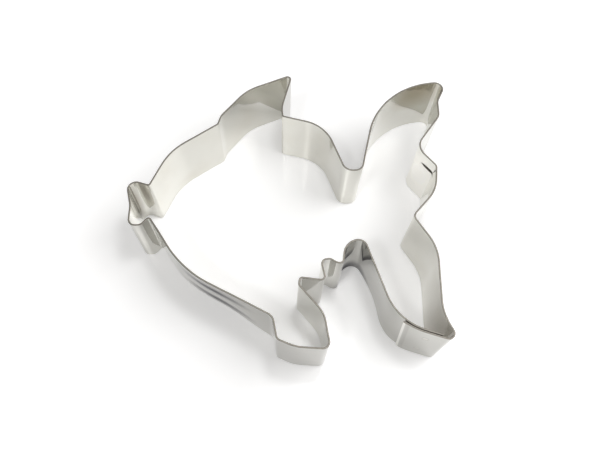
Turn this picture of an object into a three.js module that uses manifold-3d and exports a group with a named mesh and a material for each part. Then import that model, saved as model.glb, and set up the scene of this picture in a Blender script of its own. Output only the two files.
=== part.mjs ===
// A fish-shaped cookie cutter: one strip of bright sheet steel, bent on edge to the outline of a fin-tailed
// fish and closed by a spot-welded lap on the lower edge of the tail. It is open at the top and the bottom.
// Millimetres. +X runs from the mouth to the tail, +Y to the dorsal fin and +Z up. The origin lies under the
// middle of the outline, on the surface that the cutter stands on.

import * as THREE from 'three';
import { mergeVertices } from 'three/addons/utils/BufferGeometryUtils.js';
import Module from 'manifold-3d';

// Strip.
const BAND_HEIGHT = 22;
const SHEET_THICKNESS = 0.5;

// Outline, from the lips to the upper tail tip and from the lower tail tip to the dorsal tip, between the
// points of the outermost bends.
const FISH_LENGTH = 107;
const FISH_WIDTH = 94.7;

// Lap. The inner end stops short of the bend at the lower tail tip. The outer end comes round that bend, lies
// over the inner one, and is back on the outline within the joggle on the far side of the bend. Its last few
// millimetres, past the welds, spring off a little.
const LAP_LENGTH = 11;
const LAP_GAP = 0.15;
const LAP_TIP_SETBACK = 1.2;
const LAP_JOGGLE_LENGTH = 10;
const LAP_END_SPRING = 0.3;
const LAP_END_SPRING_LENGTH = 4;

// Spot welds, one above the other, each with a shallow dish on both faces where the electrodes pressed.
const WELD_DIAMETER = 1.8;
const WELD_SPACING = 11;
const WELD_FROM_INNER_END = 3.6;
const WELD_DISH_DEPTH = 0.08;
const WELD_CLEARANCE = 0.05;

// Bends of the strip, anticlockwise seen from above. Each is [x, y, inside radius], where x and y are the
// point at which the straight runs before and after the bend would meet, at the middle of the sheet. The
// points are spread to the length and width above, and the radii stay as they are.
const TAIL_TRAILING_EDGE = [
  [34.2, -47.3, 0.8],
  [32.6, -40.0, 20],
  [36.2, -20.5, 15],
  [31.4, -9.6, 1.8],
  [40.3, -2.0, 12],
  [42.7, 6.5, 1.5],
  [38.1, 14.3, 4.5],
  [48.2, 24.9, 4],
  [49.2, 30.9, 4],
  [54.4, 38.4, 2.2],
];
const UPPER_LOBE_AND_BACK = [
  [30.9, 38.6, 26],
  [19.3, 8.1, 2.2],
  [14.2, 8.2, 3],
  [10.5, 25.8, 12],
];
const DORSAL_FIN = [
  [-2.5, 31.0, 0.6],
  [-2.3, 34.5, 12],
  [2.8, 47.4, 0.8],
  [-12.8, 42.8, 16],
  [-22.1, 33.6, 5],
  [-23.4, 30.5, 0.8],
];
const HEAD_AND_MOUTH = [
  [-39.0, 22.2, 19],
  [-45.7, 10.7, 0.5],
  [-52.6, 14.0, 2.1],
  [-51.4, 4.6, 4],
  [-52.2, -1.9, 1.7],
  [-48.6, -2.1, 1.5],
  [-46.1, 0.2, 0.5],
];
const BELLY_AND_PELVIC_FIN = [
  [-37.3, -17.8, 34],
  [-13.9, -34.4, 3],
  [-13.6, -40.8, 1.3],
  [-9.0, -43.6, 12],
  [0.3, -45.5, 1.6],
  [0.1, -35.5, 9],
];
const SCALLOPS = [
  [-5.6, -26.4, 1],
  [-4.9, -24.3, 0.6],
  [2.1, -26.2, 0.8],
  [1.8, -19.9, 1.2],
  [4.5, -19.9, 1.4],
  [6.3, -21.4, 1.6],
  [8.0, -21.7, 0.8],
];
const NOTCH_AND_TAIL_LOWER_EDGE = [
  [9.6, -15.7, 4.7],
  [15.3, -14.7, 2.4],
  [19.8, -40.7, 15],
];

// Fineness of the facets, and how close two points are to count as one.
const BEND_STEP_DEGREES = 9;
const BEND_STEP_LENGTH = 2.5;
const FEWEST_BEND_STEPS = 2;
const STRAIGHT_STEP_LENGTH = 5;
const WELD_SIDES = 24;
const WELD_DISH_RINGS = 2;
const MERGE_TOLERANCE = 1e-5;

const STEEL = { color: 0xc9c8c4, roughness: 0.22, metalness: 1 };
const WELD_STEEL = { color: 0xb4b3af, roughness: 0.35, metalness: 1 };

// From the middle of one sheet of the lap to the middle of the other, and from outside to outside.
const LAP_PITCH = SHEET_THICKNESS + LAP_GAP;
const LAP_DEPTH = LAP_PITCH + SHEET_THICKNESS;

const wasm = await Module();
wasm.setup();

function solidOf(geometry) {
  const bare = geometry.clone();
  bare.deleteAttribute('normal');
  bare.deleteAttribute('uv');
  const merged = mergeVertices(bare, MERGE_TOLERANCE);
  const mesh = new wasm.Mesh({
    numProp: 3,
    vertProperties: new Float32Array(merged.attributes.position.array),
    triVerts: new Uint32Array(merged.index.array),
  });
  return new wasm.Manifold(mesh);
}

function geometryOf(solid) {
  const mesh = solid.getMesh();
  const geometry = new THREE.BufferGeometry();
  geometry.setAttribute('position', new THREE.BufferAttribute(mesh.vertProperties, 3));
  geometry.setIndex(new THREE.BufferAttribute(mesh.triVerts, 1));
  geometry.computeVertexNormals();
  return geometry;
}

// How far the bends' points reach along x, which is 0, or y, which is 1.
function reachOf(rows, axis) {
  const places = rows.map((row) => row[axis]);
  return Math.max(...places) - Math.min(...places);
}

// The bends with their points spread to the fish's length and width.
function spreadBends(rows) {
  const lengthwise = FISH_LENGTH / reachOf(rows, 0);
  const crosswise = FISH_WIDTH / reachOf(rows, 1);
  return rows.map(([x, y, inside]) => [x * lengthwise, y * crosswise, inside]);
}

// The heading, in radians, from one bend's point to another's.
function headingBetween(from, to) {
  return Math.atan2(to.y - from.y, to.x - from.x);
}

// The turn from one heading to another, between minus and plus half a circle.
function turnBetween(before, after) {
  const turn = after - before;
  return Math.atan2(Math.sin(turn), Math.cos(turn));
}

// Works out each bend's headings, its radius at the middle of the sheet, and how far its arc reaches along
// the straight runs beside it. An arc is drawn in where two neighbours would not fit on the run between them.
function measureBends(rows) {
  const bends = rows.map(([x, y, inside]) => ({ x, y, radius: inside + SHEET_THICKNESS / 2 }));
  const count = bends.length;
  bends.forEach((bend, i) => {
    const before = bends[(i + count - 1) % count];
    const after = bends[(i + 1) % count];
    bend.headingIn = headingBetween(before, bend);
    bend.turn = turnBetween(bend.headingIn, headingBetween(bend, after));
    bend.runAfter = Math.hypot(after.x - bend.x, after.y - bend.y);
    bend.reach = bend.radius * Math.tan(Math.abs(bend.turn) / 2);
  });
  const shares = bends.map((bend, i) => bend.runAfter / (bend.reach + bends[(i + 1) % count].reach));
  bends.forEach((bend, i) => {
    const share = Math.min(1, shares[i], shares[(i + count - 1) % count]);
    bend.radius *= share;
    bend.reach *= share;
  });
  return bends;
}

// Stations round one bend, from the end of the straight run before it to the start of the run after it.
function bendStations(bend) {
  const side = Math.sign(bend.turn);
  const start = new THREE.Vector2(
    bend.x - bend.reach * Math.cos(bend.headingIn),
    bend.y - bend.reach * Math.sin(bend.headingIn),
  );
  const centre = start.clone().addScaledVector(outward(bend.headingIn), -side * bend.radius);
  const angleSteps = THREE.MathUtils.radToDeg(Math.abs(bend.turn)) / BEND_STEP_DEGREES;
  const lengthSteps = (Math.abs(bend.turn) * bend.radius) / BEND_STEP_LENGTH;
  const steps = Math.ceil(Math.max(angleSteps, lengthSteps, FEWEST_BEND_STEPS));
  return Array.from({ length: steps + 1 }, (_, i) => {
    const heading = bend.headingIn + (bend.turn * i) / steps;
    return { at: centre.clone().addScaledVector(outward(heading), side * bend.radius), heading };
  });
}

// The direction out of the fish, to the right of the heading.
function outward(heading) {
  return new THREE.Vector2(Math.sin(heading), -Math.cos(heading));
}

// The outline once round, as stations along the middle of the sheet with their distance from the start of the
// first bend. The last station closes the loop on the first.
function outlineStations(rows) {
  const bends = measureBends(rows);
  const stations = [];
  bends.forEach((bend, i) => {
    const arc = bendStations(bend);
    const next = bends[(i + 1) % bends.length];
    const end = arc[arc.length - 1];
    const straight = bend.runAfter - bend.reach - next.reach;
    const steps = Math.ceil(straight / STRAIGHT_STEP_LENGTH);
    const direction = new THREE.Vector2(Math.cos(next.headingIn), Math.sin(next.headingIn));
    const run = Array.from({ length: Math.max(steps - 1, 0) }, (_, k) => ({
      at: end.at.clone().addScaledVector(direction, (straight * (k + 1)) / steps),
      heading: next.headingIn,
    }));
    stations.push(...arc, ...run);
  });
  stations.push({ at: stations[0].at.clone(), heading: stations[0].heading });
  let distance = 0;
  stations.forEach((station, i) => {
    distance += i ? station.at.distanceTo(stations[i - 1].at) : 0;
    station.distance = distance;
  });
  return stations;
}

// The station at a distance along the outline, between two of its stations.
function stationAt(outline, distance) {
  const i = Math.max(1, outline.findIndex((station) => station.distance >= distance));
  const [before, after] = [outline[i - 1], outline[i]];
  const share = (distance - before.distance) / (after.distance - before.distance);
  return {
    at: before.at.clone().lerp(after.at, share),
    heading: before.heading + turnBetween(before.heading, after.heading) * share,
    distance,
  };
}

// The strip from its outer end to its inner end: a little more than once round the outline, with the outer
// end one sheet and the gap further out.
function stripStations(outline) {
  const perimeter = outline[outline.length - 1].distance;
  const innerEnd = perimeter - LAP_TIP_SETBACK;
  const outerEnd = innerEnd - LAP_LENGTH;
  const lap = outline.filter(({ distance }) => distance > outerEnd && distance < perimeter);
  const outerLap = [stationAt(outline, outerEnd), ...lap].map((station) => {
    const left = 1 - Math.min(1, (station.distance - outerEnd) / LAP_END_SPRING_LENGTH);
    return offsetStation(station, LAP_PITCH + LAP_END_SPRING * left ** 2);
  });
  const loop = outline.filter(({ distance }) => distance < innerEnd);
  const round = loop.map((station) => {
    const left = 1 - THREE.MathUtils.smoothstep(station.distance, 0, LAP_JOGGLE_LENGTH);
    return offsetStation(station, LAP_PITCH * left);
  });
  return [...outerLap, ...round, stationAt(outline, innerEnd)];
}

function offsetStation(station, offset) {
  return { ...station, at: station.at.clone().addScaledVector(outward(station.heading), offset) };
}

// The strip as a plan of its sheet's thickness, drawn up to its height.
function bandGeometry(strip) {
  const face = (side) => strip.map(({ at, heading }) => {
    return at.clone().addScaledVector(outward(heading), (side * SHEET_THICKNESS) / 2);
  });
  const plan = new THREE.Shape([...face(-1), ...face(1).reverse()]);
  return new THREE.ExtrudeGeometry(plan, { depth: BAND_HEIGHT, bevelEnabled: false });
}

// Where a weld stands: its axis runs out through both sheets, and its own origin is midway between them.
function weldPlacement(outline, height) {
  const perimeter = outline[outline.length - 1].distance;
  const station = stationAt(outline, perimeter - LAP_TIP_SETBACK - WELD_FROM_INNER_END);
  const { at } = offsetStation(station, LAP_PITCH / 2);
  const out = outward(station.heading);
  const turn = new THREE.Quaternion().setFromUnitVectors(
    new THREE.Vector3(0, 1, 0),
    new THREE.Vector3(out.x, out.y, 0),
  );
  const placement = new THREE.Object3D();
  placement.position.set(at.x, at.y, height);
  placement.quaternion.copy(turn);
  placement.updateMatrix();
  return placement;
}

// Fused metal through both sheets, flush with them at its rim and dished at each end.
function weldGeometry() {
  const rings = Array.from({ length: WELD_DISH_RINGS + 1 }, (_, i) => i / WELD_DISH_RINGS);
  const outerEnd = rings.map((share) => new THREE.Vector2(
    (share * WELD_DIAMETER) / 2,
    LAP_DEPTH / 2 - WELD_DISH_DEPTH * (1 - share ** 2),
  ));
  const innerEnd = outerEnd.map(({ x, y }) => new THREE.Vector2(x, -y));
  return new THREE.LatheGeometry([...innerEnd, ...outerEnd.reverse()], WELD_SIDES);
}

// The hole that a weld fills, twice as long as the lap is deep so that it passes both faces.
function weldHoleGeometry(placement) {
  const radius = WELD_DIAMETER / 2 + WELD_CLEARANCE;
  const hole = new THREE.CylinderGeometry(radius, radius, 2 * LAP_DEPTH, WELD_SIDES);
  return hole.applyMatrix4(placement.matrix);
}

const outline = outlineStations(spreadBends([
  ...TAIL_TRAILING_EDGE,
  ...UPPER_LOBE_AND_BACK,
  ...DORSAL_FIN,
  ...HEAD_AND_MOUTH,
  ...BELLY_AND_PELVIC_FIN,
  ...SCALLOPS,
  ...NOTCH_AND_TAIL_LOWER_EDGE,
]));

const welds = {
  spot_weld_upper: weldPlacement(outline, (BAND_HEIGHT + WELD_SPACING) / 2),
  spot_weld_lower: weldPlacement(outline, (BAND_HEIGHT - WELD_SPACING) / 2),
};

const holes = Object.values(welds).map((placement) => solidOf(weldHoleGeometry(placement)));
const strip = solidOf(bandGeometry(stripStations(outline)));
const bandSolid = holes.reduce((solid, hole) => solid.subtract(hole), strip);
const band = new THREE.Mesh(geometryOf(bandSolid), new THREE.MeshStandardMaterial(STEEL));
band.name = 'cutter_band';
band.geometry.computeBoundingBox();

// Everything hangs in one group, moved so that the origin lies under the middle of the outline.
const cutter = new THREE.Group();
cutter.name = 'fish_cookie_cutter';
const middle = band.geometry.boundingBox.getCenter(new THREE.Vector3());
cutter.position.set(-middle.x, -middle.y, 0);
cutter.add(band);
for (const [name, placement] of Object.entries(welds)) {
  const weld = new THREE.Mesh(weldGeometry(), new THREE.MeshStandardMaterial(WELD_STEEL));
  weld.name = name;
  weld.position.copy(placement.position);
  weld.quaternion.copy(placement.quaternion);
  cutter.add(weld);
}

export default cutter;
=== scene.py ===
"""Looks of a fish-shaped cookie cutter: a strip of bright sheet steel on edge, spot-welded at the tail.

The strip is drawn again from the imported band's own stations, as smooth curves with rounded sheet edges and
the slight unevenness of a strip bent by hand. The spot welds sit in it as fine dished plugs. Metres, in the
part's frame.
"""
import math
from functools import partial

import bmesh
import bpy
import numpy as np
from mathutils import Matrix, Vector


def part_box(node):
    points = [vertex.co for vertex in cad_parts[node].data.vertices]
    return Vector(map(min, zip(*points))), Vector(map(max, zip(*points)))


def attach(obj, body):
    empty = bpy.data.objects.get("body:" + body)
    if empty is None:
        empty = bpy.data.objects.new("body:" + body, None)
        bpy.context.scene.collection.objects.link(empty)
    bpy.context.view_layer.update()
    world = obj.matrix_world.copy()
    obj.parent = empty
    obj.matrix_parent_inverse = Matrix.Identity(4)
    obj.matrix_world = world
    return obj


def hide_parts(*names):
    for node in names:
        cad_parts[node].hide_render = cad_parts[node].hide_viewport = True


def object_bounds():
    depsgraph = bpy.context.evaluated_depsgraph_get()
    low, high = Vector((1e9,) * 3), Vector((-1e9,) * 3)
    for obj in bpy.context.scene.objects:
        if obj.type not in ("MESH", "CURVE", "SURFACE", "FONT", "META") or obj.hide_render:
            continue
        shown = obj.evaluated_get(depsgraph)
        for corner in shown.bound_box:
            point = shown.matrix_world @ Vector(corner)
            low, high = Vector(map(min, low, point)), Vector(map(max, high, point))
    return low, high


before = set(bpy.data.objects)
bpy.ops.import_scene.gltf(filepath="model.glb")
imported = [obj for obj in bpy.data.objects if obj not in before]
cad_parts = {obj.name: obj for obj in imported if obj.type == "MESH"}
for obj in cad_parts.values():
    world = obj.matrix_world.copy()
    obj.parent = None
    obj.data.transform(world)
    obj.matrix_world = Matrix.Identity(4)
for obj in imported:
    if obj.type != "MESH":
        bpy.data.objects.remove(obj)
cad_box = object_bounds()

MM = 0.001

# Camera: where it stands, how it is turned, and its lens.
CAMERA_PLACE = Vector((-17.4, -77.6, 170.1)) * MM
CAMERA_PITCH = math.radians(64.39)
CAMERA_YAW = math.radians(12.0)
CAMERA_ROLL = math.radians(4.08)
CAMERA_LENS = 33.6
CAMERA_SENSOR = 36.0
CAMERA_NEAR = 5 * MM

# Reading the band's rim: how near two points are one, how level a face on top lies, and the least turn of a
# square corner.
SAME_POINT = 0.002 * MM
LEVEL_NORMAL = 0.5
SQUARE_TURN = math.radians(60)

# The strip's mesh: steps along it, rows up each face, and the roundings of its edges and ends.
STEP_LENGTH = 0.8 * MM
STEP_TURN = math.radians(3)
FACE_ROWS = 12
EDGE_RADIUS = 0.12 * MM
EDGE_STEPS = 3
EDGE_SUPPORT = 0.12 * MM
END_RADIUS = 0.08 * MM
END_STEPS = 3

# The strip's outer end isn't cut square: its foot is set back, and the skew dies out along the strip.
OUTER_END_SKEW = 2.0 * MM
OUTER_END_SKEW_LENGTH = 6 * MM

# Unevenness of the hand-bent strip: amplitude, then wavelengths along X, Y and Z.
WAVES = [
    (0.030 * MM, 31 * MM, 43 * MM, 37 * MM),
    (0.018 * MM, 17 * MM, 13 * MM, 29 * MM),
    (0.008 * MM, 7 * MM, 9 * MM, 15 * MM),
]

# Where the strip's foot is drawn in: the middle along the strip, the reach to either side, and how far.
DRAWN_IN = [
    (324 * MM, 22 * MM, 2.0 * MM),
    (426 * MM, 17 * MM, 1.7 * MM),
]

# Maps of a piece: where a place lies on the strip or weld, and the layout for baking.
STRIP_MAP = "strip"
BAKE_MAP = "OFBake"

# Layout for baking: rows of strip that share the square, and the room kept free round each.
BAKE_ROWS = 3
BAKE_MARGIN = 0.006

# Spot welds: their meshes, the room round each in its hole, and how far a hole's solid stands out of the
# sheet.
WELD_SIDES = 48
WELD_RINGS = 8
WELD_DISH_DEPTH = 0.05 * MM
WELD_CLEARANCE = 0.05 * MM
HOLE_MARGIN = 0.5 * MM
SHARP_ANGLE = math.radians(40)

# Colours of the sheet's faces, of its sheared edges and of the welds.
STEEL_CLEAN = (0.68, 0.673, 0.628, 1)
STEEL_SMUDGED = (0.645, 0.632, 0.577, 1)
# Outer face: darker from handling, and painted shade for the shadowed table it mirrors.
STEEL_HANDLED_AND_SHADED = (0.475, 0.468, 0.44, 1)
# Painted highlight: lighter patches and a streak where the steel mirrors brighter light.
STEEL_PAINTED_HIGHLIGHT = (0.92, 0.91, 0.87, 1)
# Painted dark reflection along the belly and at the foot of the lower notch.
STEEL_PAINTED_DARK_REFLECTION = (0.42, 0.415, 0.41, 1)
# Painted shade: brownish darkening inside the tail tips and the mouth.
STEEL_PAINTED_SHADE = (0.31, 0.29, 0.25, 1)
# Painted shade, warmer in tint, inside a tail tip.
STEEL_PAINTED_WARM_SHADE = (0.48, 0.435, 0.35, 1)
# Painted highlight at the strip's outer end.
STEEL_PAINTED_END_HIGHLIGHT = (0.80, 0.79, 0.75, 1)
# Painted shade: a shadow line beside the outer end, and the duller front of the pelvic fin.
STEEL_PAINTED_DULL_SHADE = (0.46, 0.45, 0.42, 1)
STEEL_DARK_LINE = (0.06, 0.052, 0.042, 1)
EDGE_BRIGHT = (0.31, 0.295, 0.265, 1)
EDGE_DARK = (0.21, 0.195, 0.17, 1)
WELD_PALE = (0.58, 0.57, 0.53, 1)
WELD_TINTED = (0.55, 0.53, 0.485, 1)

# Tint of what the sheet mirrors at a glancing angle, where it is clean and under the painted dark reflection
# lines.
GLANCING_CLEAN = (1, 1, 1, 1)
GLANCING_PAINTED_DARK_REFLECTION = (0.31, 0.31, 0.33, 1)

# How much of the handled and shaded colour the outer face takes: the outer face is darker all over, partly
# from handling and partly as painted shade for the shadowed table it mirrors. Then the share of the girth
# over which the faces change at the rim.
HANDLED_AND_SHADED_SHARE = 0.8
RIM_FADE = 0.01

# The last bit of the strip's outer face has a painted highlight, with a painted shadow line beside it.
END_PAINTED_HIGHLIGHT_LENGTH = 0.8 * MM
END_PAINTED_SHADOW = (1.2 * MM, 2.1 * MM)
END_FADE = 0.2 * MM

# A short dark line on the inner face near the tail: its middle along the strip and above the foot, its size,
# and the share of its reach that is fully dark.
DARK_LINE_ALONG = 74.5 * MM
DARK_LINE_HEIGHT = 17.4 * MM
DARK_LINE_LENGTH = 7.6 * MM
DARK_LINE_WIDTH = 1.6 * MM
DARK_LINE_CORE = 0.7

# Painted dark reflection lines on the outer face, along the belly and at the foot of the lower notch, that
# also
# mirror less at a glancing angle: middle along it, middle above the foot, length and width.
PAINTED_DARK_REFLECTION_LINES = [
    (324 * MM, 15.5 * MM, 29 * MM, 7 * MM),
    (325 * MM, 4.5 * MM, 29 * MM, 8 * MM),
    (413 * MM, 1.5 * MM, 24 * MM, 9.5 * MM),
]

# Other soft marks, all painted light and shade: painted shade in the tail tips, the mouth and the front of
# the pelvic fin, and painted highlights where the steel mirrors brighter. Columns: face, middle along it,
# middle above the foot, length, width, tilt and colour.
LEVEL = 0
MARKS = [
    # Painted highlight on a scallop.
    ("outer", 401.5 * MM, 12 * MM, 8 * MM, 36 * MM, LEVEL, STEEL_PAINTED_HIGHLIGHT),
    # Painted shade on the front of the pelvic fin.
    ("outer", 359 * MM, 12 * MM, 26 * MM, 60 * MM, LEVEL, STEEL_PAINTED_DULL_SHADE),
    # Painted highlight: a lighter patch of the outer face, in the clean colour.
    ("outer", 294.5 * MM, 9 * MM, 14 * MM, 40 * MM, LEVEL, STEEL_CLEAN),
    # Painted shade inside the tips of the tail and in the mouth.
    ("inner", 117 * MM, 19 * MM, 22 * MM, 20 * MM, LEVEL, STEEL_PAINTED_WARM_SHADE),
    ("inner", 15 * MM, 15 * MM, 44 * MM, 50 * MM, LEVEL, STEEL_PAINTED_SHADE),
    ("inner", 272.8 * MM, 17 * MM, 3.6 * MM, 30 * MM, LEVEL, STEEL_PAINTED_SHADE),
    ("inner", 277.7 * MM, 13 * MM, 4.4 * MM, 30 * MM, LEVEL, STEEL_PAINTED_SHADE),
    # Painted highlights; the last one is a painted reflection streak in the dorsal fin.
    ("inner", 285 * MM, 15 * MM, 8 * MM, 30 * MM, LEVEL, STEEL_PAINTED_HIGHLIGHT),
    ("inner", 77 * MM, 11 * MM, 28 * MM, 36 * MM, LEVEL, STEEL_PAINTED_HIGHLIGHT),
    ("inner", 221.5 * MM, 15.5 * MM, 28 * MM, 9 * MM, math.radians(-44), STEEL_PAINTED_HIGHLIGHT),
]

# Share of a soft mark's reach that has its full colour.
MARK_CORE = 0.2

# Noise of the steel: rolling streaks and smudges on the sheet, burrs on its edges and grain on the welds.
STREAK_LENGTH = 40 * MM
STREAK_WIDTH = 0.35 * MM
STREAK_HEIGHT = 0.0006 * MM
STREAK_DETAIL = 3
SMUDGE_SIZE = 16 * MM
SMUDGE_DETAIL = 4
BURR_LENGTH = 2.5 * MM
BURR_WIDTH = 0.08 * MM
BURR_HEIGHT = 0.006 * MM
BURR_DETAIL = 2
GRAIN_SIZE = 0.25 * MM
GRAIN_HEIGHT = 0.002 * MM
GRAIN_DETAIL = 2

# The range that most of the noise lies in, and the part of it over which a smudge sets in.
NOISE_RANGE = (0.3, 0.7)
SMUDGE_RANGE = (0.42, 0.70)

# Roughness from the low to the high end of the noise, and what smudges and the dark line add.
SHEET_ROUGHNESS = (0.045, 0.095)
EDGE_ROUGHNESS = (0.62, 0.50)
WELD_ROUGHNESS = (0.12, 0.2)
SMUDGE_ROUGHNESS = 0.05
DARK_LINE_ROUGHNESS = 0.35

# Where a weld's tint sets in and is full, as shares of its radius.
WELD_TINT_REACH = (0.55, 0.98)

# Table: its glow rises from near the cutter to further out, over these distances from the middle.
FLOOR_SIZE = 6.0
FLOOR_COLOUR = (0.90, 0.90, 0.905, 1)
FLOOR_ROUGHNESS = 0.25
FLOOR_GLOW_NEAR = 0.28
FLOOR_GLOW_FAR = 0.55
FLOOR_GLOW_RISE = (40 * MM, 115 * MM)

# Room: its colours, the sine of the elevation from which it is all overhead, and how much of it lights the
# table.
HORIZON_COLOUR = (1.0, 1.0, 1.0, 1)
OVERHEAD_COLOUR = (0.40, 0.385, 0.36, 1)
OVERHEAD_FROM = 0.7
ROOM_LIGHT = 0.42

# Lamps: name, place, width and power.
LAMPS = [
    ("right", (0.344, 0.0, 0.491), 0.40, 1.70),
    ("front", (-0.212, -0.212, 0.520), 0.08, 0.5),
    ("overhead", (0.025, 0.010, 0.220), 0.04, 0.085),
]


def rim_points(node):
    """The points round the node's top rim, in order."""
    mesh = bmesh.new()
    mesh.from_mesh(node.data)
    bmesh.ops.remove_doubles(mesh, verts=mesh.verts, dist=SAME_POINT)
    top = max(vertex.co.z for vertex in mesh.verts)
    beside = {}
    for edge in mesh.edges:
        on_top = all(top - vertex.co.z < SAME_POINT for vertex in edge.verts)
        level_faces = sum(abs(face.normal.z) > LEVEL_NORMAL for face in edge.link_faces)
        if on_top and level_faces == 1:
            one, other = edge.verts
            beside.setdefault(one, []).append(other)
            beside.setdefault(other, []).append(one)
    first = next(iter(beside))
    loop = [first, beside[first][0]]
    while loop[-1] is not first:
        loop.append(next(vertex for vertex in beside[loop[-1]] if vertex is not loop[-2]))
    points = np.array([vertex.co.xy for vertex in loop[:-1]])
    mesh.free()
    return points


def lengths(vectors):
    """The length of each of these plane vectors."""
    return np.hypot(vectors[:, 0], vectors[:, 1])


def turn_between(before, after):
    """The turn from one heading to another, between minus and plus half a circle."""
    return (after - before + math.pi) % (2 * math.pi) - math.pi


def strip_stations(node):
    """The strip from outer to inner end: the sheet's middle, the way ahead, and the thickness."""
    loop = rim_points(node)
    step = np.roll(loop, -1, 0) - loop
    heading = np.arctan2(step[:, 1], step[:, 0])
    square = np.abs(turn_between(heading, np.roll(heading, -1))) > SQUARE_TURN
    first, second = [i for i in range(len(loop)) if square[i - 1] and square[i]]
    one = loop[first + 1:second + 1]
    other = np.concatenate([loop[second + 1:], loop[:first + 1]])[::-1]
    tail_tip = loop[loop[:, 1].argmin()]
    if math.dist(one[0], tail_tip) < math.dist(one[-1], tail_tip):
        one, other = one[::-1], other[::-1]
    middle = (one + other) / 2
    across = (one - other) / lengths(one - other)[:, None]
    ahead = np.column_stack([-across[:, 1], across[:, 0]])
    if ahead[0] @ (middle[1] - middle[0]) < 0:
        ahead = -ahead
    return middle, ahead, lengths(one - other).mean()


def smooth_stations(middle, ahead):
    """Closer stations on smooth curves through the given ones: place, way ahead and distance along."""
    heading = np.arctan2(ahead[:, 1], ahead[:, 0])
    points = []
    for i in range(len(middle) - 1):
        chord = math.dist(middle[i], middle[i + 1])
        turn = abs(turn_between(heading[i], heading[i + 1]))
        steps = math.ceil(max(chord / STEP_LENGTH, turn / STEP_TURN))
        for s in np.arange(steps) / steps:
            points.append(
                (1 + 2 * s) * (1 - s) ** 2 * middle[i]
                + s * (1 - s) ** 2 * chord * ahead[i]
                + s ** 2 * (3 - 2 * s) * middle[i + 1]
                - s ** 2 * (1 - s) * chord * ahead[i + 1]
            )
    points = np.array(points + [middle[-1]])
    distance = np.concatenate([[0], np.cumsum(lengths(np.diff(points, axis=0)))])
    along = np.gradient(points, distance, axis=0)
    return points, along / lengths(along)[:, None], distance


def outward(ahead):
    """The way out of the fish, square to each way ahead."""
    return np.column_stack([ahead[:, 1], -ahead[:, 0]])


def unevenness(places):
    """How far the sheet stands off its true line at each place, the last axis being X, Y, Z."""
    offset = np.zeros(places.shape[:-1])
    for amplitude, *wavelengths in WAVES:
        turns = 2 * math.pi * places / np.array(wavelengths)
        x, y, z = turns[..., 0], turns[..., 1], turns[..., 2]
        offset += amplitude * np.sin(x + np.sin(z)) * np.cos(y - np.sin(x + z))
    return offset


def drawn_in(along):
    """How far the strip's foot is drawn in at each distance along it."""
    amount = np.zeros_like(along)
    for middle, reach, most in DRAWN_IN:
        share = np.clip((along - middle) / reach, -1, 1)
        amount += most * np.cos(share * math.pi / 2) ** 2
    return amount


def sheet_section(thickness, low, high, inset):
    """The sheet's section: [side, height] points from the foot of its outer face over the top and back."""
    half = thickness / 2 - inset
    radius = EDGE_RADIUS - inset
    foot, head = low + EDGE_RADIUS, high - EDGE_RADIUS
    rows = [foot, *np.linspace(foot + EDGE_SUPPORT, head - EDGE_SUPPORT, FACE_ROWS)]
    face = [[half, height] for height in rows]
    corner = [
        [half - radius + radius * math.cos(turn), head + radius * math.sin(turn)]
        for turn in np.linspace(0, math.pi / 2, EDGE_STEPS + 1)
    ]
    upper = face + corner + [[-side, height] for side, height in corner[:0:-1]]
    return np.array(upper + [[-side, low + high - height] for side, height in upper])


def face_girth(thickness, band_height, face, height):
    """How far a height on one face lies from the foot of the outer face, measured over the top."""
    section = sheet_section(thickness, 0, band_height, 0)
    girth = np.concatenate([[0], np.cumsum(lengths(np.diff(section, axis=0)))])
    side = section[:, 0].max() if face == "outer" else section[:, 0].min()
    on_face = np.flatnonzero(section[:, 0] == side)
    upward = on_face[section[on_face, 1].argsort()]
    return np.interp(height, section[upward, 1], girth[upward])


def with_rounded_ends(points, ahead, distance):
    """The stations with both ends' roundings: place, way ahead, distance and inset of the section."""
    turns = np.linspace(0, math.pi / 2, END_STEPS + 1)
    setback = END_RADIUS * (1 - np.cos(turns))
    inset = END_RADIUS * (1 - np.sin(turns))
    start = points[0] + setback[:, None] * ahead[0]
    end = points[-1] - setback[::-1, None] * ahead[-1]
    return (
        np.concatenate([start, points[1:-1], end]),
        np.concatenate([[ahead[0]] * len(turns), ahead[1:-1], [ahead[-1]] * len(turns)]),
        np.concatenate([setback, distance[1:-1], distance[-1] - setback[::-1]]),
        np.concatenate([inset, np.zeros(len(points) - 2), inset[::-1]]),
    )


def between(along, distance, vectors):
    """The given vectors, one for each distance, read at other distances along the strip."""
    return np.stack([np.interp(along, distance, vectors[:, axis]) for axis in (0, 1)], axis=-1)


def strip_places(points, ahead, distance, sections, low, high):
    """Where the points of every section stand, and how far along the strip each of them lies."""
    side, height = sections[..., 0], sections[..., 1]
    depth = (high.z - height) / (high.z - low.z)
    skew = OUTER_END_SKEW * np.maximum(0, 1 - distance / OUTER_END_SKEW_LENGTH)
    along = distance[:, None] + skew[:, None] * depth
    places = np.concatenate([between(along, distance, points), height[..., None]], axis=2)
    offset = side + unevenness(places) - drawn_in(along) * depth
    places[..., :2] += offset[..., None] * between(along, distance, outward(ahead))
    return np.clip(places, low, high), along


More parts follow.
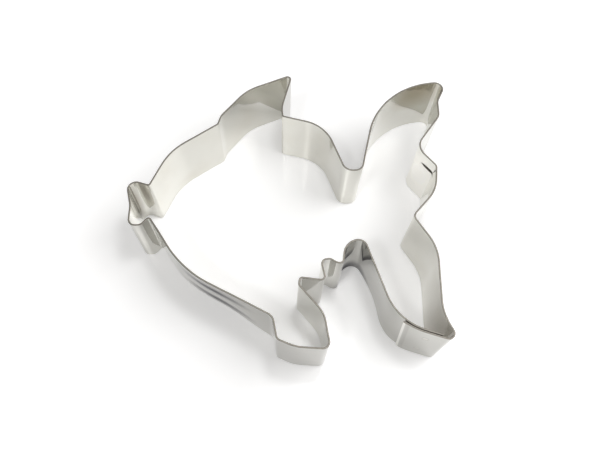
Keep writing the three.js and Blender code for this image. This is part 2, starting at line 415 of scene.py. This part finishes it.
def strip_mesh(points, ahead, distance, thickness, low, high):
    """The strip as one closed mesh of rings, with its maps. Its second material is for the sheet's edges."""
    points, ahead, distance, inset = with_rounded_ends(points, ahead, distance)
    sections = np.array([sheet_section(thickness, low.z, high.z, amount) for amount in inset])
    places, along = strip_places(points, ahead, distance, sections, low, high)

    rings, count = along.shape
    ring, corner = np.meshgrid(np.arange(rings - 1), np.arange(count), indexing="ij")
    ring, corner = ring.ravel(), corner.ravel()
    ring_of = np.stack([ring, ring + 1, ring + 1, ring], axis=1)
    corner_of = np.stack([corner, corner, corner + 1, corner + 1], axis=1)
    quads = ring_of * count + corner_of % count
    caps = [np.arange(count)[::-1], (rings - 1) * count + np.arange(count)]

    mesh = bpy.data.meshes.new("fish_band")
    mesh.from_pydata(places.reshape(-1, 3).tolist(), [], quads.tolist() + [cap.tolist() for cap in caps])
    half_count = count // 2
    on_edge = corner % half_count >= FACE_ROWS + 1
    mesh.polygons.foreach_set("material_index", np.concatenate([on_edge, [False, False]]).astype(np.int32))
    mesh.shade_smooth()

    plain = sections[rings // 2]
    girth = np.concatenate([[0], np.cumsum(lengths(np.roll(plain, -1, 0) - plain))])
    quad_map = np.stack([along[ring_of, corner_of % count], girth[corner_of]], axis=2).reshape(-1, 2)
    cap_map = np.concatenate([sections[0][::-1], sections[-1]])
    fill_map(mesh, STRIP_MAP, np.concatenate([quad_map, cap_map]))
    fill_map(mesh, BAKE_MAP, bake_layout(quad_map, distance, girth, ring, cap_map))
    return mesh


def bake_layout(quad_map, distance, girth, ring, cap_map):
    """The strip cut into rows, one above another in the unit square, with the end caps above two of them."""
    row_length = distance[-1] / BAKE_ROWS
    row = np.minimum((distance[ring] + distance[ring + 1]) / 2 // row_length, BAKE_ROWS - 1)
    row = np.repeat(row, len(quad_map) // len(ring))
    scale = (1 - 4 * BAKE_MARGIN) / row_length
    across = 2 * BAKE_MARGIN + (quad_map[:, 0] - row * row_length) * scale
    up = row / BAKE_ROWS + BAKE_MARGIN + quad_map[:, 1] * scale
    cap_row = np.repeat([0, 1], len(cap_map) // 2)
    cap_across = 2 * BAKE_MARGIN + cap_map[:, 1] * scale
    cap_up = cap_row / BAKE_ROWS + 3 * BAKE_MARGIN + (girth[-1] + cap_map[:, 0]) * scale
    return np.concatenate([np.stack([across, up], axis=1), np.stack([cap_across, cap_up], axis=1)])


def fill_map(mesh, name, values):
    """Gives the mesh a map, with one pair of values for each corner of each face."""
    layer = mesh.uv_layers.new(name=name)
    layer.data.foreach_set("uv", values.astype(np.float32).ravel())


def weld_place(node, points, ahead):
    """A weld's middle, axis, half length and radius, from its node and the strip beside it."""
    corners = np.array([vertex.co for vertex in node.data.vertices])
    middle = (corners.min(0) + corners.max(0)) / 2
    nearest = lengths(points - middle[:2]).argmin()
    axis = np.array([*outward(ahead)[nearest], 0])
    from_middle = corners - middle
    along = from_middle @ axis
    radius = np.sqrt((from_middle ** 2).sum(1) - along ** 2).max()
    middle += axis * unevenness(middle)
    return middle, axis, np.abs(along).max(), radius


def turned_mesh(name, profile, middle, axis):
    """A solid turned about an axis through middle. Its profile runs from axis to axis in [radius, along]."""
    angles = np.arange(WELD_SIDES) * 2 * math.pi / WELD_SIDES
    up = np.array([0, 0, 1])
    level = np.cross(up, axis)
    around = np.cos(angles)[:, None] * level + np.sin(angles)[:, None] * up
    vertices = [middle + axis * profile[0][1]]
    for radius, along in profile[1:-1]:
        vertices.extend(middle + axis * along + radius * around)
    vertices.append(middle + axis * profile[-1][1])
    faces = []
    last = len(vertices) - 1
    lowest = last - WELD_SIDES
    for i in range(WELD_SIDES):
        after = (i + 1) % WELD_SIDES
        faces.append([0, 1 + i, 1 + after])
        for first in range(1, lowest, WELD_SIDES):
            faces.append([first + i, first + WELD_SIDES + i, first + WELD_SIDES + after, first + after])
        faces.append([last, lowest + after, lowest + i])
    mesh = bpy.data.meshes.new(name)
    mesh.from_pydata([tuple(vertex) for vertex in vertices], [], faces)
    return mesh


def weld_mesh(name, middle, axis, half_length, radius):
    """A spot weld: a plug through both sheets, dished at both ends and flush with them at its rim."""
    reach = np.linspace(0, radius, WELD_RINGS + 1)
    level = half_length - WELD_DISH_DEPTH * (1 - (reach / radius) ** 2) ** 2
    outer = list(zip(reach, level))
    inner = [(distance, -along) for distance, along in reversed(outer)]
    mesh = turned_mesh(name, outer + inner, middle, axis)
    mesh.shade_smooth()
    mesh.set_sharp_from_angle(angle=SHARP_ANGLE)
    from_middle = np.array([vertex.co for vertex in mesh.vertices]) - middle
    along = from_middle @ axis
    radial = np.sqrt(np.maximum((from_middle ** 2).sum(1) - along ** 2, 0))
    corner_of = np.array([loop.vertex_index for loop in mesh.loops])
    fill_map(mesh, STRIP_MAP, np.stack([radial, along], axis=1)[corner_of])
    return mesh


def new_piece(name, mesh, materials, slot, *nodes):
    """A piece of the cutter, riding on its one body in place of the named nodes."""
    piece = bpy.data.objects.new(name, mesh)
    bpy.context.scene.collection.objects.link(piece)
    for material in materials:
        mesh.materials.append(material)
    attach(piece, "root")
    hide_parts(*nodes)
    return piece


def cut_holes(piece, holes):
    """Cuts the given closed meshes out of a piece, and keeps its shading crisp at the holes."""
    tools = []
    for hole in holes:
        tool = bpy.data.objects.new("hole", hole)
        bpy.context.scene.collection.objects.link(tool)
        cut = piece.modifiers.new("hole", "BOOLEAN")
        cut.operation = "DIFFERENCE"
        cut.solver = "EXACT"
        cut.object = tool
        tools.append(tool)
    bpy.context.view_layer.update()
    cut_piece = piece.evaluated_get(bpy.context.evaluated_depsgraph_get())
    mesh = bpy.data.meshes.new_from_object(cut_piece)
    piece.modifiers.clear()
    piece.data = mesh
    for tool in tools:
        bpy.data.objects.remove(tool)
    mesh.set_sharp_from_angle(angle=SHARP_ANGLE)


def new_material(name):
    """A new material, its node tree and its shader."""
    material = bpy.data.materials.new(name)
    material.use_nodes = True
    return material, material.node_tree, material.node_tree.nodes["Principled BSDF"]


def new_metal(name):
    """A new material of bare metal, its node tree and its shader."""
    material, tree, shader = new_material(name)
    shader.inputs["Metallic"].default_value = 1
    return material, tree, shader


def add_node(tree, kind, links=(), **values):
    """A new node, with the named sockets set to values, and the given sockets linked as (name, output)."""
    node = tree.nodes.new(kind)
    for name, value in values.items():
        node.inputs[name.replace("_", " ")].default_value = value
    for name, output in links:
        tree.links.new(output, node.inputs[name])
    return node


def spread(tree, value, low, high, to_low, to_high):
    """The value between low and high spread over to_low to to_high."""
    node = add_node(tree, "ShaderNodeMapRange", [("Value", value)],
                    From_Min=low, From_Max=high, To_Min=to_low, To_Max=to_high)
    return node.outputs["Result"]


def sum_or_product(tree, operation, first, second):
    """The sum or product of two outputs, as the operation says."""
    node = tree.nodes.new("ShaderNodeMath")
    node.operation = operation
    tree.links.new(first, node.inputs[0])
    tree.links.new(second, node.inputs[1])
    return node.outputs[0]


def total(tree, first, second):
    """The sum of two outputs."""
    return sum_or_product(tree, "ADD", first, second)


def product(tree, first, second):
    """The product of two outputs."""
    return sum_or_product(tree, "MULTIPLY", first, second)


def vector_length(tree, vector):
    """The length of a vector output."""
    node = add_node(tree, "ShaderNodeVectorMath", [("Vector", vector)])
    node.operation = "LENGTH"
    return node.outputs["Value"]


def blend(tree, factor, first, second):
    """A colour between two, by a factor. The first may be another node's output."""
    node = tree.nodes.new("ShaderNodeMixRGB")
    if isinstance(first, bpy.types.NodeSocket):
        tree.links.new(first, node.inputs["Color1"])
    else:
        node.inputs["Color1"].default_value = first
    node.inputs["Color2"].default_value = second
    tree.links.new(factor, node.inputs["Fac"])
    return node.outputs["Color"]


def raise_surface(tree, shader, height, distance):
    """Bumps the shader's surface by the height, which counts as this distance where it is one."""
    bump = add_node(tree, "ShaderNodeBump", [("Height", height)], Distance=distance)
    tree.links.new(bump.outputs["Normal"], shader.inputs["Normal"])


def strip_place(tree):
    """Where a place lies: along the strip and round its girth, or out from a weld's axis and along it."""
    strip = tree.nodes.new("ShaderNodeUVMap")
    strip.uv_map = STRIP_MAP
    return strip.outputs["UV"]


def strip_measures(tree):
    """The two measures of strip_place, apart."""
    split = add_node(tree, "ShaderNodeSeparateXYZ", [("Vector", strip_place(tree))])
    return split.outputs["X"], split.outputs["Y"]


def strip_noise(tree, length, width, detail):
    """Noise drawn out along the strip, in features of about this length and width."""
    stretched = add_node(tree, "ShaderNodeMapping", [("Vector", strip_place(tree))],
                         Scale=(1 / length, 1 / width, 1))
    noise = add_node(tree, "ShaderNodeTexNoise", [("Vector", stretched.outputs["Vector"])],
                     Scale=1.0, Detail=detail)
    return noise.outputs["Fac"]


def place_noise(tree, size, detail):
    """Noise in space, in patches of about this size."""
    place = tree.nodes.new("ShaderNodeTexCoord")
    noise = add_node(tree, "ShaderNodeTexNoise", [("Vector", place.outputs["Object"])],
                     Scale=1 / size, Detail=detail)
    return noise.outputs["Fac"]


def strip_spot(tree, along, girth, length, width, tilt, core):
    """One in the core of an oval on the strip, falling to nothing at its rim."""
    centred = add_node(tree, "ShaderNodeMapping", [("Vector", strip_place(tree))],
                       Location=(along, girth, 0), Rotation=(0, 0, tilt),
                       Scale=(length / 2, width / 2, 1))
    centred.vector_type = "TEXTURE"
    return spread(tree, vector_length(tree, centred.outputs["Vector"]), core, 1, 1, 0)


def soft_mark(tree, girth_of, sides, face, along, height, length, width, tilt=LEVEL):
    """A soft oval on one face of the strip. It doesn't reach over the rim to the other face."""
    spot = strip_spot(tree, along, girth_of(face, height), length, width, tilt, MARK_CORE)
    return product(tree, spot, sides[face])


def outer_end_distance(tree, along, girth, rim_girth):
    """How far a place on the outer face lies from the strip's skewed outer end."""
    skew = spread(tree, girth, 0, rim_girth, -OUTER_END_SKEW, 0)
    return total(tree, along, skew)


def end_painted_light(tree, colour, from_end):
    """The colour with the painted shadow line and the painted highlight at the strip's outer end."""
    shadow_start, shadow_end = END_PAINTED_SHADOW
    painted_shadow = product(
        tree,
        spread(tree, from_end, shadow_start - END_FADE, shadow_start, 0, 1),
        spread(tree, from_end, shadow_end - END_FADE, shadow_end, 1, 0),
    )
    painted_highlight = spread(tree, from_end, END_PAINTED_HIGHLIGHT_LENGTH - END_FADE, END_PAINTED_HIGHLIGHT_LENGTH, 1, 0)
    return blend(tree, painted_highlight, blend(tree, painted_shadow, colour, STEEL_PAINTED_DULL_SHADE), STEEL_PAINTED_END_HIGHLIGHT)


def sheet_steel(girth_of):
    """Bright rolled sheet: fine streaks, faint smudges, an outer face darker from handling and painted
    shade, painted light and shade in soft marks and at the outer end, and one dark line.
    """
    material, tree, shader = new_metal("bright_sheet_steel")
    streaks = strip_noise(tree, STREAK_LENGTH, STREAK_WIDTH, STREAK_DETAIL)
    smudges = spread(tree, place_noise(tree, SMUDGE_SIZE, SMUDGE_DETAIL), *SMUDGE_RANGE, 0, 1)
    dark_line = strip_spot(
        tree, DARK_LINE_ALONG, girth_of("inner", DARK_LINE_HEIGHT), DARK_LINE_LENGTH, DARK_LINE_WIDTH, LEVEL, DARK_LINE_CORE
    )
    along, girth = strip_measures(tree)
    # An endless height stands for the top of the inner face.
    rim_girth = girth_of("inner", math.inf)
    inside = spread(tree, girth, (1 - RIM_FADE) * rim_girth, (1 + RIM_FADE) * rim_girth, 0, 1)
    outside = spread(tree, inside, 0, 1, 1, 0)
    mark_on = partial(soft_mark, tree, girth_of, {"inner": inside, "outer": outside})

    colour = blend(tree, smudges, STEEL_CLEAN, STEEL_SMUDGED)
    # The outer face is darker all over: handling, and painted shade.
    colour = blend(tree, spread(tree, outside, 0, 1, 0, HANDLED_AND_SHADED_SHARE), colour, STEEL_HANDLED_AND_SHADED)
    glancing = GLANCING_CLEAN
    # Painted dark reflection lines, which also mirror less at a glancing angle.
    for line in PAINTED_DARK_REFLECTION_LINES:
        dark_reflection = mark_on("outer", *line)
        colour = blend(tree, dark_reflection, colour, STEEL_PAINTED_DARK_REFLECTION)
        glancing = blend(tree, dark_reflection, glancing, GLANCING_PAINTED_DARK_REFLECTION)
    for face, *oval, mark_colour in MARKS:
        colour = blend(tree, mark_on(face, *oval), colour, mark_colour)
    # Painted highlight and painted shadow line at the outer end.
    colour = end_painted_light(tree, colour, outer_end_distance(tree, along, girth, rim_girth))
    colour = blend(tree, dark_line, colour, STEEL_DARK_LINE)
    tree.links.new(colour, shader.inputs["Base Color"])
    tree.links.new(glancing, shader.inputs["Specular Tint"])

    roughness = total(
        tree,
        spread(tree, streaks, *NOISE_RANGE, *SHEET_ROUGHNESS),
        spread(tree, smudges, 0, 1, 0, SMUDGE_ROUGHNESS),
    )
    roughness = total(tree, roughness, spread(tree, dark_line, 0, 1, 0, DARK_LINE_ROUGHNESS))
    tree.links.new(roughness, shader.inputs["Roughness"])
    raise_surface(tree, shader, streaks, STREAK_HEIGHT)
    return material


def cut_edge():
    """The sheared edge of the sheet: duller and darker than its faces, with short burrs."""
    material, tree, shader = new_metal("sheared_edge_steel")
    burrs = strip_noise(tree, BURR_LENGTH, BURR_WIDTH, BURR_DETAIL)
    tree.links.new(blend(tree, burrs, EDGE_DARK, EDGE_BRIGHT), shader.inputs["Base Color"])
    tree.links.new(spread(tree, burrs, *NOISE_RANGE, *EDGE_ROUGHNESS), shader.inputs["Roughness"])
    raise_surface(tree, shader, burrs, BURR_HEIGHT)
    return material


def weld_steel(radius):
    """The pressed face of a spot weld: a little rougher than the sheet, faintly tinted towards its rim."""
    material, tree, shader = new_metal("spot_weld_steel")
    reach, _ = strip_measures(tree)
    tint_start, tint_full = WELD_TINT_REACH
    tint = spread(tree, reach, tint_start * radius, tint_full * radius, 0, 1)
    grain = place_noise(tree, GRAIN_SIZE, GRAIN_DETAIL)
    tree.links.new(blend(tree, tint, WELD_PALE, WELD_TINTED), shader.inputs["Base Color"])
    tree.links.new(spread(tree, grain, *NOISE_RANGE, *WELD_ROUGHNESS), shader.inputs["Roughness"])
    raise_surface(tree, shader, grain, GRAIN_HEIGHT)
    return material


def build_cutter():
    """The strip and its two spot welds, each weld in its own hole."""
    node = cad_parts["cutter_band"]
    low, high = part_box("cutter_band")
    middle, ahead, thickness = strip_stations(node)
    points, ahead, distance = smooth_stations(middle, ahead)
    mesh = strip_mesh(points, ahead, distance, thickness, low, high)
    girth_of = partial(face_girth, thickness, high.z - low.z)
    steel = [sheet_steel(girth_of), cut_edge()]
    band = new_piece("fish_band", mesh, steel, "sheet_steel", "cutter_band")
    holes = []
    for name in ("spot_weld_upper", "spot_weld_lower"):
        middle, axis, half_length, radius = weld_place(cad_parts[name], points, ahead)
        plug = weld_mesh(name + "_plug", middle, axis, half_length, radius)
        new_piece(name + "_plug", plug, [weld_steel(radius)], "weld_steel", name)
        room = radius + WELD_CLEARANCE
        end = half_length + HOLE_MARGIN
        holes.append(turned_mesh("hole", [(0, end), (room, end), (room, -end), (0, -end)], middle, axis))
    cut_holes(band, holes)


def build_floor():
    """A white table. It shows brighter to the camera and in the steel, most so away from the cutter."""
    bpy.ops.mesh.primitive_plane_add(size=FLOOR_SIZE, location=(0, 0, cad_box[0].z))
    floor = bpy.context.object
    floor.name = "table"
    material, tree, shader = new_material("white_table")
    shader.inputs["Base Color"].default_value = FLOOR_COLOUR
    shader.inputs["Roughness"].default_value = FLOOR_ROUGHNESS
    rays = tree.nodes.new("ShaderNodeLightPath")
    seen = total(tree, rays.outputs["Is Camera Ray"], rays.outputs["Is Glossy Ray"])
    seen = total(tree, seen, rays.outputs["Is Transmission Ray"])
    place = tree.nodes.new("ShaderNodeTexCoord")
    reach = vector_length(tree, place.outputs["Object"])
    strength = spread(tree, reach, *FLOOR_GLOW_RISE, FLOOR_GLOW_NEAR, FLOOR_GLOW_FAR)
    glow = add_node(tree, "ShaderNodeEmission", [("Strength", product(tree, seen, strength))])
    both = tree.nodes.new("ShaderNodeAddShader")
    tree.links.new(shader.outputs["BSDF"], both.inputs[0])
    tree.links.new(glow.outputs["Emission"], both.inputs[1])
    tree.links.new(both.outputs["Shader"], tree.nodes["Material Output"].inputs["Surface"])
    floor.data.materials.append(material)


def build_world():
    """A room: white to the camera, darker overhead in the steel, and dimmer where it lights the table."""
    world = bpy.data.worlds.new("room")
    bpy.context.scene.world = world
    world.use_nodes = True
    tree = world.node_tree
    room = tree.nodes["Background"]
    direction = tree.nodes.new("ShaderNodeTexCoord")
    split = add_node(tree, "ShaderNodeSeparateXYZ", [("Vector", direction.outputs["Generated"])])
    overhead = spread(tree, split.outputs["Z"], 0, OVERHEAD_FROM, 0, 1)
    tree.links.new(blend(tree, overhead, HORIZON_COLOUR, OVERHEAD_COLOUR), room.inputs["Color"])
    plain = add_node(tree, "ShaderNodeBackground", Color=HORIZON_COLOUR)
    rays = tree.nodes.new("ShaderNodeLightPath")
    mirrored = total(tree, rays.outputs["Is Glossy Ray"], rays.outputs["Is Transmission Ray"])
    tree.links.new(spread(tree, mirrored, 0, 1, ROOM_LIGHT, 1), room.inputs["Strength"])
    either = add_node(tree, "ShaderNodeMixShader", [("Fac", rays.outputs["Is Camera Ray"])])
    tree.links.new(room.outputs["Background"], either.inputs[1])
    tree.links.new(plain.outputs["Background"], either.inputs[2])
    tree.links.new(either.outputs["Shader"], tree.nodes["World Output"].inputs["Surface"])


def build_lamp(name, place, size, energy):
    """A round soft lamp that faces the cutter."""
    data = bpy.data.lights.new(name, "AREA")
    data.shape = "DISK"
    data.size = size
    data.energy = energy
    lamp = bpy.data.objects.new(name, data)
    bpy.context.scene.collection.objects.link(lamp)
    lamp.location = place
    lamp.rotation_euler = Vector(place).to_track_quat("Z", "Y").to_euler()
    lamp.visible_camera = False


def build_camera():
    """The camera, at the photograph's viewing angle."""
    data = bpy.data.cameras.new("camera")
    data.lens = CAMERA_LENS
    data.sensor_width = CAMERA_SENSOR
    data.clip_start = CAMERA_NEAR
    camera = bpy.data.objects.new("camera", data)
    bpy.context.scene.collection.objects.link(camera)
    turn = (
        Matrix.Rotation(-CAMERA_YAW, 4, "Z")
        @ Matrix.Rotation(math.pi / 2 - CAMERA_PITCH, 4, "X")
        @ Matrix.Rotation(CAMERA_ROLL, 4, "Z")
    )
    camera.matrix_world = Matrix.Translation(CAMERA_PLACE) @ turn
    bpy.context.scene.camera = camera


bpy.context.scene.view_settings.view_transform = "Standard"
build_camera()
build_floor()
build_world()
for lamp_values in LAMPS:
    build_lamp(*lamp_values)
build_cutter()
